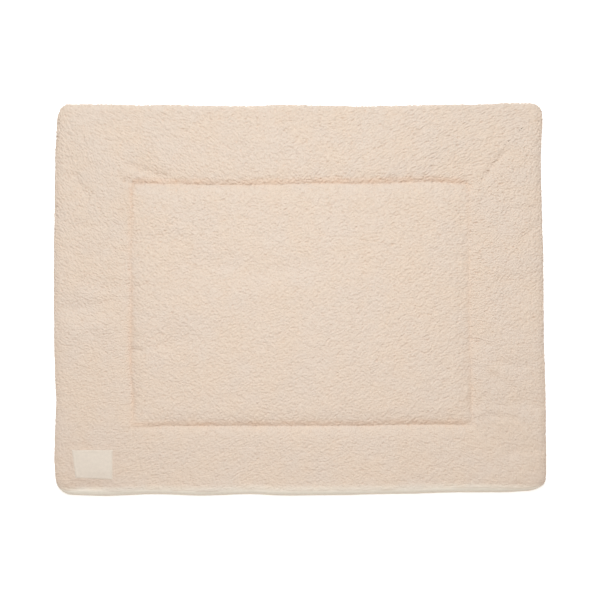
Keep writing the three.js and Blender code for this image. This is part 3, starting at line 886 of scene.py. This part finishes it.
def label_top(x, y):
    """The height of the label's top, on the pressed pile."""
    inside = -label_outside(x, y)
    ground = heights_on(PAD_TREE, x, y) + relief(x, y)
    width, soft = LABEL_HEM["width"], LABEL_HEM["soft"]
    hem = LABEL_HEM["height"] * (1 - smoothstep(inside, width - soft, width + soft))
    wave = uneven(x, y, "wave") * smoothstep(inside, 0, LABEL_WAVE_REACH)
    rim = np.clip(1 - inside / LABEL_ROUND["reach"], 0, 1)
    rounded = LABEL_ROUND["height"] * (1 - np.sqrt(1 - rim**2))
    crown = LABEL_CROWN["height"] * (1 - np.exp(-inside / LABEL_CROWN["reach"]))
    return ground + LABEL_THICK + hem + wave + crown - rounded


def label_sheet():
    low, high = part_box("label")
    nx, ny = round((high.x - low.x) / LABEL_STEP), round((high.y - low.y) / LABEL_STEP)
    u = np.linspace(0, 1, nx + 1)[:, None, None]
    v = np.linspace(0, 1, ny + 1)[None, :, None]
    a, b, c, d = LABEL_CORNERS
    plan = (1 - v) * ((1 - u) * a + u * b) + v * ((1 - u) * d + u * c)
    x, y = plan[..., 0], plan[..., 1]
    top = label_top(x, y)[..., None]
    full = smoothstep(-label_outside(x, y), 0, LABEL_THIN["reach"])
    thick = LABEL_THICK * (LABEL_THIN["share"] + (1 - LABEL_THIN["share"]) * full)[..., None]
    upper = np.concatenate([plan, top], axis=-1)
    lower = np.concatenate([plan, top - thick], axis=-1)
    rows, columns = upper.shape[:2]
    edge = edge_loop(rows, columns)
    below = rows * columns
    faces = [grid_quads(rows, columns), grid_quads(rows, columns, below)[:, ::-1]]
    quads = np.concatenate([*faces, band_quads(below + edge, edge)])
    points = np.concatenate([upper.reshape(-1, 3), lower.reshape(-1, 3)])
    flat = plan.reshape(-1, 2)
    return make_piece("label_sheet", points, quads, cloth=np.concatenate([flat, flat]))


# Stitches


def along_path(path, pitch):
    """Places at equal steps along a closed path in plan, and the directions there."""
    closed = np.concatenate([path, path[:1]])
    steps = np.linalg.norm(np.diff(closed, axis=0), axis=1)
    travelled = np.concatenate([[0], np.cumsum(steps)])
    count = round(travelled[-1] / pitch)
    at = (np.arange(count) + 0.5) * travelled[-1] / count

    def place(distance):
        distance = np.mod(distance, travelled[-1])
        return np.stack([np.interp(distance, travelled, closed[:, k]) for k in range(2)], axis=-1)

    ahead = place(at + 0.4 * pitch) - place(at - 0.4 * pitch)
    return place(at), ahead / np.linalg.norm(ahead, axis=1, keepdims=True)


def stitches(name, path, height_at, size, side=1):
    """A row of stitches along a closed path: short threads whose ends go down into the cloth,
    or up into it where side is -1."""
    middle, ahead = along_path(path, size["pitch"])
    aside = np.stack([-ahead[:, 1], ahead[:, 0]], axis=-1)
    stations = np.linspace(-1, 1, len(STITCH_THICK))
    bow = 1 - np.abs(stations) ** STITCH_BOW
    thick = size["radius"] * np.array(STITCH_THICK)
    turns = np.arange(STITCH_SIDES) / STITCH_SIDES * 2 * math.pi
    loops = []
    for station, rise, radius in zip(stations, bow, thick):
        centre = middle + ahead * station * size["length"] / 2
        height = height_at(centre[:, 0], centre[:, 1]) + side * (rise - 1) * size["dip"]
        for turn in turns:
            plan = centre + aside * radius * math.cos(turn)
            z = height + radius * math.sin(turn)
            loops.append(np.concatenate([plan, z[:, None]], axis=1))
    points = np.stack(loops, axis=1)
    count, per = points.shape[:2]
    one = np.arange(per).reshape(len(stations), STITCH_SIDES)
    quads = np.concatenate([band_quads(one[k + 1], one[k]) for k in range(len(stations) - 1)])
    fan = np.array([(0, k, k + 1) for k in range(1, STITCH_SIDES - 1)])
    ends = np.concatenate([one[0][fan], one[-1][fan[:, ::-1]]])
    offsets = (np.arange(count) * per)[:, None, None]
    quads = (quads[None] + offsets).reshape(-1, 4)
    ends = (ends[None] + offsets).reshape(-1, 3)
    return make_piece(name, points.reshape(-1, 3), quads, ends)


def label_seam():
    """The closed path of the stitches that hold the label, inside its edge."""
    middle = sum(LABEL_CORNERS) / 4
    corners = [corner + (middle - corner) * LABEL_SEAM_SHARE for corner in LABEL_CORNERS]
    share = np.linspace(0, 1, LABEL_SEAM_POINTS, endpoint=False)[:, None]
    ends = corners[1:] + corners[:1]
    return np.concatenate([a + share * (b - a) for a, b in zip(corners, ends)])


def label_seam_height(x, y):
    return label_top(x, y) + STITCH_LIFT["label"]


# Materials


class Look:
    """A material, and the nodes that work out its colour and bumps. What goes into a node is
    another's output or a fixed value."""

    def __init__(self, name):
        self.material = bpy.data.materials.new(name)
        self.material.use_nodes = True
        self.tree = self.material.node_tree
        self.shader = self.tree.nodes["Principled BSDF"]

    def put(self, socket, value):
        if isinstance(value, bpy.types.NodeSocket):
            self.tree.links.new(value, socket)
        else:
            socket.default_value = (*value, 1) if isinstance(value, tuple) else value

    def fill(self, node, inputs):
        for name, value in inputs.items():
            # a mix has such sockets for each kind of value, and those for colours are enabled
            self.put(next(s for s in node.inputs if s.name == name and s.enabled), value)

    def surface(self, colour, normal, others):
        self.fill(self.shader, {"Base Color": colour, "Normal": normal, **others})
        return self.material

    def node(self, kind, **inputs):
        made = self.tree.nodes.new("ShaderNode" + kind)
        self.fill(made, inputs)
        return made

    def noise(self, place, scale, detail, distortion=0.0):
        made = self.node("TexNoise", Vector=place, Scale=scale, Detail=detail, Distortion=distortion)
        return made.outputs["Fac"]

    def ramp(self, value, low, high):
        """Colours from low to high. Each is a place on the ramp and a colour."""
        made = self.node("ValToRGB", Fac=value)
        for element, (place, colour) in zip(made.color_ramp.elements, (low, high)):
            element.position = place
            element.color = (*colour, 1)
        return made.outputs["Color"]

    def mix(self, factor, first, second, blend="MIX"):
        made = self.node("Mix")
        made.data_type = "RGBA"
        made.blend_type = blend
        self.fill(made, {"Factor": factor, "A": first, "B": second})
        return next(s for s in made.outputs if s.enabled)

    def attribute(self, name):
        made = self.node("Attribute")
        made.attribute_name = name
        return made.outputs["Fac"]

    def bump(self, height, strength, distance, **under):
        made = self.node("Bump", Height=height, Strength=strength, Distance=distance, **under)
        return made.outputs["Normal"]

    def math(self, operation, *values):
        made = self.node("Math")
        made.operation = operation
        for socket, value in zip(made.inputs, values):
            self.put(socket, value)
        return made.outputs["Value"]


def pile_material():
    look = Look("curly_pile")
    place = look.node("TexCoord").outputs["Object"]
    # painted shade between the nubs, in the sewn crease and round the label
    base = look.mix(look.attribute("deep"), FRONT_COLOUR, FRONT_PAINTED_SHADE)
    # painted shade along the quilting
    base = look.mix(look.attribute("sewn"), base, FRONT_SEWN_SHADE, "MULTIPLY")
    # painted light along the front edge
    base = look.mix(look.attribute("pale"), base, BACK_COLOUR)
    patches = look.noise(place, scale=21, detail=2)
    tint = look.ramp(patches, (0.35, (1, 0.985, 0.965)), (0.65, (0.985, 0.99, 1)))
    base = look.mix(1, base, tint, "MULTIPLY")
    strands = look.noise(place, scale=900, detail=3, distortion=1.2)
    # the strands painted darker where their bumps lie low: painted shade
    shade = look.ramp(strands, (0.3, (0.965, 0.96, 0.955)), (0.7, (1, 1, 1)))
    base = look.mix(1, base, shade, "MULTIPLY")
    curls = look.noise(place, scale=480, detail=3, distortion=1.8)
    bumpy = look.bump(curls, strength=0.6, distance=1.0 * MM)
    bumpy = look.bump(strands, strength=0.35, distance=0.4 * MM, Normal=bumpy)
    sheen = {"Sheen Weight": 0.12, "Sheen Roughness": 0.6}
    return look.surface(base, bumpy, {"Roughness": 0.75, "Specular IOR Level": 0.3, **sheen})


def woven_material(name, colour, pitch, fuzz_colour=None):
    """Plain-woven cotton, with its threads along the cloth's own directions. Where the cloth
    has values of `fuzz`, that much of another colour lies over it."""
    look = Look(name)
    place = look.node("UVMap")
    place.uv_map = "cloth"
    place = place.outputs["UV"]
    parts = look.node("SeparateXYZ", Vector=place).outputs
    across = [
        look.math("SINE", look.math("MULTIPLY", parts[axis], math.pi / pitch)) for axis in "XY"
    ]
    weave = look.math("MULTIPLY", *across)
    slubs = look.noise(place, scale=160, detail=3)
    tone = look.math("MULTIPLY_ADD", weave, 0.12, slubs)
    # painted shade in the weave's low parts, over the slubs' own random tone
    dark = tuple(WEAVE_SHADE * c for c in colour)
    base = look.ramp(tone, (0.25, dark), (0.7, colour))
    if fuzz_colour:
        base = look.mix(look.attribute("fuzz"), base, fuzz_colour)
    bumpy = look.bump(weave, strength=0.5, distance=0.12 * MM)
    bumpy = look.bump(slubs, strength=0.3, distance=0.4 * MM, Normal=bumpy)
    others = {"Roughness": 0.9, "Specular IOR Level": 0.25, "Sheen Weight": 0.1}
    return look.surface(base, bumpy, others)


def thread_material():
    look = Look("sewing_thread")
    twist = look.noise(look.node("TexCoord").outputs["Object"], scale=1400, detail=2)
    # painted shade in the twist's grooves
    dark = tuple(THREAD_SHADE * c for c in THREAD_COLOUR)
    base = look.ramp(twist, (0.35, dark), (0.65, THREAD_COLOUR))
    bumpy = look.bump(twist, strength=0.5, distance=0.2 * MM)
    return look.surface(base, bumpy, {"Roughness": 0.7})


# Stage


def floor():
    mesh = bpy.data.meshes.new("floor")
    half, z = FLOOR["half"], -FLOOR["drop"]
    corners = [(-half, -half, z), (half, -half, z), (half, half, z), (-half, half, z)]
    mesh.from_pydata(corners, [], [(0, 1, 2, 3)])
    ground = add_object("floor", mesh)
    look = Look("floor_white")
    look.fill(look.shader, {"Base Color": FLOOR["white"], "Roughness": 0.9})
    look.fill(look.shader, {"Emission Color": (1, 1, 1), "Emission Strength": FLOOR["glow"]})
    ground.data.materials.append(look.material)


def lights():
    world = bpy.data.worlds.new("studio")
    bpy.context.scene.world = world
    world.use_nodes = True
    sky = world.node_tree.nodes["Background"]
    sky.inputs["Color"].default_value = (*SKY["colour"], 1)
    sky.inputs["Strength"].default_value = SKY["strength"]
    for name, place, size, power, colour in LAMPS:
        lamp = bpy.data.lights.new(name, "AREA")
        lamp.color = colour
        lamp.shape = "DISK"
        lamp.size = size
        lamp.energy = power
        holder = add_object(name, lamp)
        holder.location = place
        holder.rotation_euler = (-Vector(place)).to_track_quat("-Z", "Y").to_euler()
        holder.visible_camera = False


def camera():
    scene = bpy.context.scene
    lens = bpy.data.cameras.new("camera")
    lens.sensor_width = 36
    lens.lens = lens.sensor_width * CAMERA_HEIGHT / (PICTURE_PIXELS * PIXEL)
    holder = add_object("camera", lens)
    holder.location = (*CAMERA_PLACE, CAMERA_HEIGHT)
    scene.camera = holder
    scene.view_settings.view_transform = "Standard"
    scene.view_settings.look = "None"


# Everything together

camera()
lights()
floor()

ring = Ring()
curly = pile_material()
for piece in [*border_strips(ring), *panel_halves()]:
    piece.data.materials.append(curly)
    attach(piece, "root")
    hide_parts("padded_mat")

thread = thread_material()


def add_thread(piece):
    piece.data.materials.append(thread)
    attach(piece, "root")


def channel_height(x, y):
    return heights_on(PAD_TREE, x, y) + relief(x, y) + STITCH_LIFT["quilting"]


def under_channel_height(x, y):
    return heights_on(BACK_TREE, x, y, under=True)


top_stitches = stitches("quilting_stitches", ring.sewn, channel_height, STITCH)
under_stitches = stitches("quilting_stitches_under", ring.sewn, under_channel_height, STITCH, -1)
add_thread(top_stitches)
add_thread(under_stitches)

back = back_sheet(ring)
back.data.materials.append(woven_material("back_cotton", BACK_COLOUR, 0.7 * MM, FRONT_COLOUR))
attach(back, "root")
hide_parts("back_cloth")

label_stitches = stitches("label_stitches", label_seam(), label_seam_height, LABEL_STITCH)
add_thread(label_stitches)

tag = label_sheet()
tag.data.materials.append(woven_material("label_cotton", LABEL_COLOUR, 0.6 * MM))
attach(tag, "root")
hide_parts("label")
